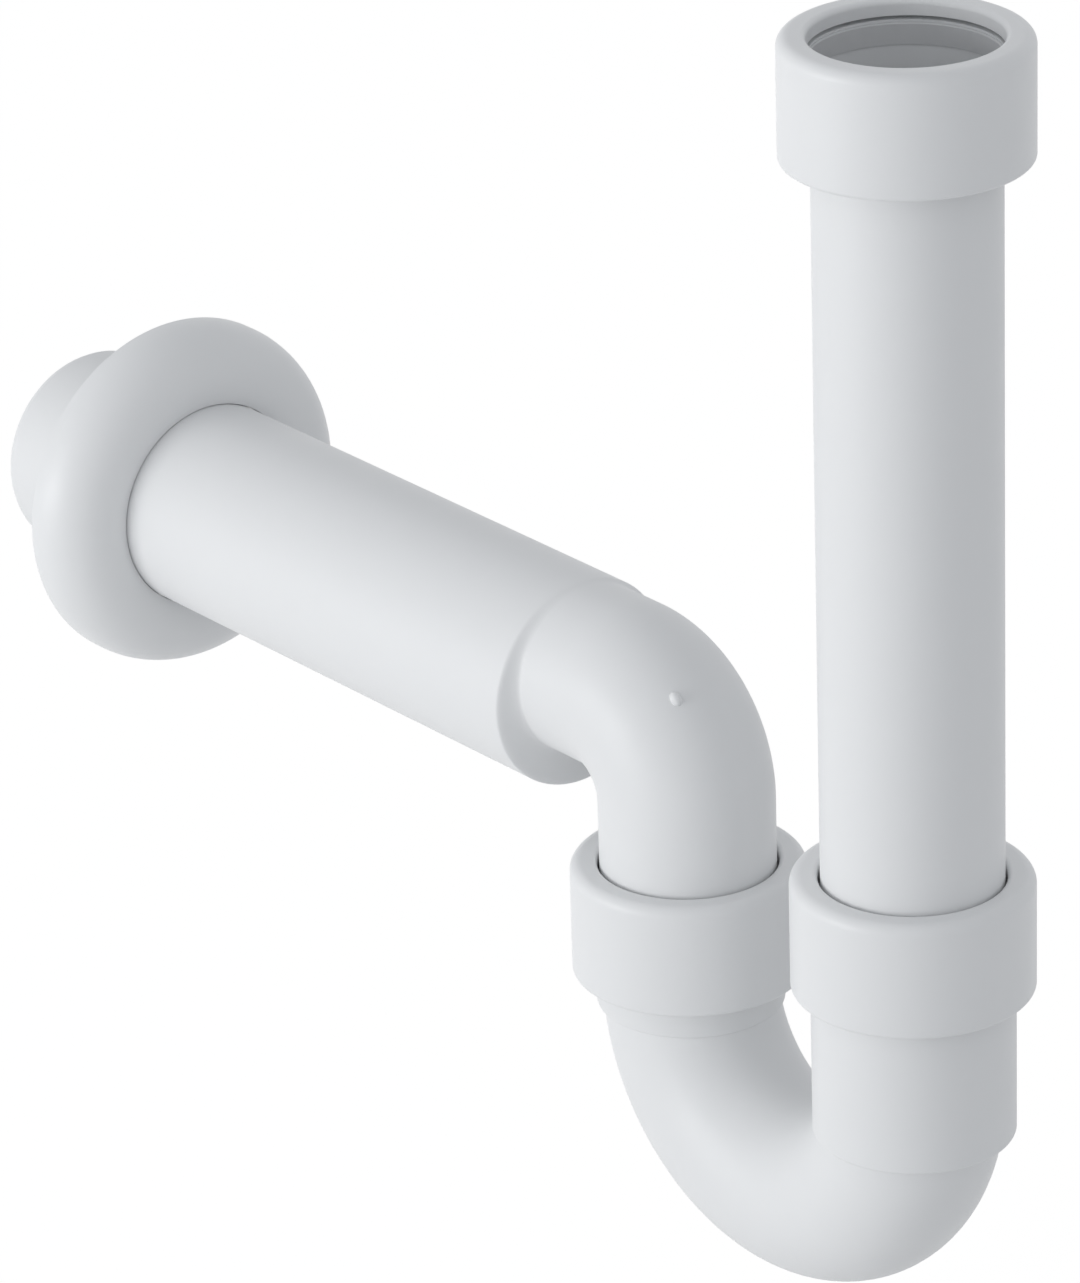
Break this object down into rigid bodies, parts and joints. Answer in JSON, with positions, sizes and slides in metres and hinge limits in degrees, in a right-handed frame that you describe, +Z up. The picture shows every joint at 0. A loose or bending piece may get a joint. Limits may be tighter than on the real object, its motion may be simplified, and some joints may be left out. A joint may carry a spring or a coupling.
{
  "type": "tubular trap",
  "caption": "Tubular sink trap: upright inlet pipe, U-bend and swivelling outlet bend joined by coupling nuts, with a wall spigot and a sliding wall rosette.",
  "frame": {"origin": "on the inlet axis, on the ledge in the inlet pipe's socket where a tail pipe seats", "axes": "+Z up along the inlet axis, +Y level from the inlet towards the wall, X = 0 the mid-plane"},
  "size_m": [0.0856, 0.3267, 0.3022],
  "materials": {
    "pipe_plastic": "moulded white polypropylene, satin",
    "nut_plastic": "moulded white polypropylene, satin",
    "ring_plastic": "plain white plastic",
    "seal_rubber": "pale grey moulded rubber",
    "rosette_plastic": "moulded white polypropylene, satin"
  },
  "bodies": {
    "inlet": {"inlet_pipe": "pipe_plastic", "inlet_seal": "seal_rubber"},
    "inlet_ring": {"inlet_thrust_ring": "ring_plastic"},
    "inlet_nut": {"inlet_nut": "nut_plastic"},
    "trap_seal": {"trap_inlet_seal": "seal_rubber"},
    "trap": {"trap_bend": "pipe_plastic"},
    "trap_inlet_ring": {"trap_inlet_thrust_ring": "ring_plastic"},
    "trap_inlet_nut": {"trap_inlet_nut": "nut_plastic"},
    "trap_outlet_ring": {"trap_outlet_thrust_ring": "ring_plastic"},
    "trap_outlet_nut": {"trap_outlet_nut": "nut_plastic"},
    "outlet_seal": {"trap_outlet_seal": "seal_rubber"},
    "outlet": {"outlet_bend": "pipe_plastic"},
    "rosette": {"wall_rosette": "rosette_plastic"}
  },
  "joints": [
    {"name": "inlet_nut_lift", "type": "slide", "parent": "inlet", "child": "inlet_ring", "axis": [0, 0, 1], "range_m": [0, 0.01154]},
    {"name": "inlet_nut_turn", "type": "hinge", "parent": "inlet_ring", "child": "inlet_nut", "pos_m": [0, 0, 0.016], "axis": [0, 0, 1], "range_deg": [0, 1800]},
    {"name": "trap_height", "type": "slide", "parent": "inlet", "child": "trap_seal", "axis": [0, 0, 1], "range_m": [-0.015, 0.017]},
    {"name": "trap_swivel", "type": "hinge", "parent": "trap_seal", "child": "trap", "pos_m": [0, 0, -0.1751], "axis": [0, 0, 1], "continuous": true},
    {"name": "trap_inlet_nut_lift", "type": "slide", "parent": "trap", "child": "trap_inlet_ring", "axis": [0, 0, 1], "range_m": [0, 0.01154]},
    {"name": "trap_inlet_nut_turn", "type": "hinge", "parent": "trap_inlet_ring", "child": "trap_inlet_nut", "pos_m": [0, 0, -0.1751], "axis": [0, 0, 1], "range_deg": [0, 1800]},
    {"name": "trap_outlet_nut_lift", "type": "slide", "parent": "trap", "child": "trap_outlet_ring", "axis": [0, 0, 1], "range_m": [0, 0.01154]},
    {"name": "trap_outlet_nut_turn", "type": "hinge", "parent": "trap_outlet_ring", "child": "trap_outlet_nut", "pos_m": [0, 0.075, -0.1987], "axis": [0, 0, 1], "range_deg": [0, 1800]},
    {"name": "outlet_swivel", "type": "hinge", "parent": "trap", "child": "outlet_seal", "pos_m": [0, 0.075, -0.1987], "axis": [0, 0, 1], "range_deg": [-110, 110]},
    {"name": "outlet_draw", "type": "slide", "parent": "outlet_seal", "child": "outlet", "axis": [0, 0, 1], "range_m": [0, 0.008]},
    {"name": "rosette_slide", "type": "slide", "parent": "outlet", "child": "rosette", "axis": [0, 1, 0], "range_m": [-0.135, 0.034]}
  ],
  "couplings": [
    {"joint": "inlet_nut_lift", "follows": "inlet_nut_turn", "m_per_rad": 0.00036749},
    {"joint": "trap_inlet_nut_lift", "follows": "trap_inlet_nut_turn", "m_per_rad": 0.00036749},
    {"joint": "trap_outlet_nut_lift", "follows": "trap_outlet_nut_turn", "m_per_rad": 0.00036749}
  ]
}
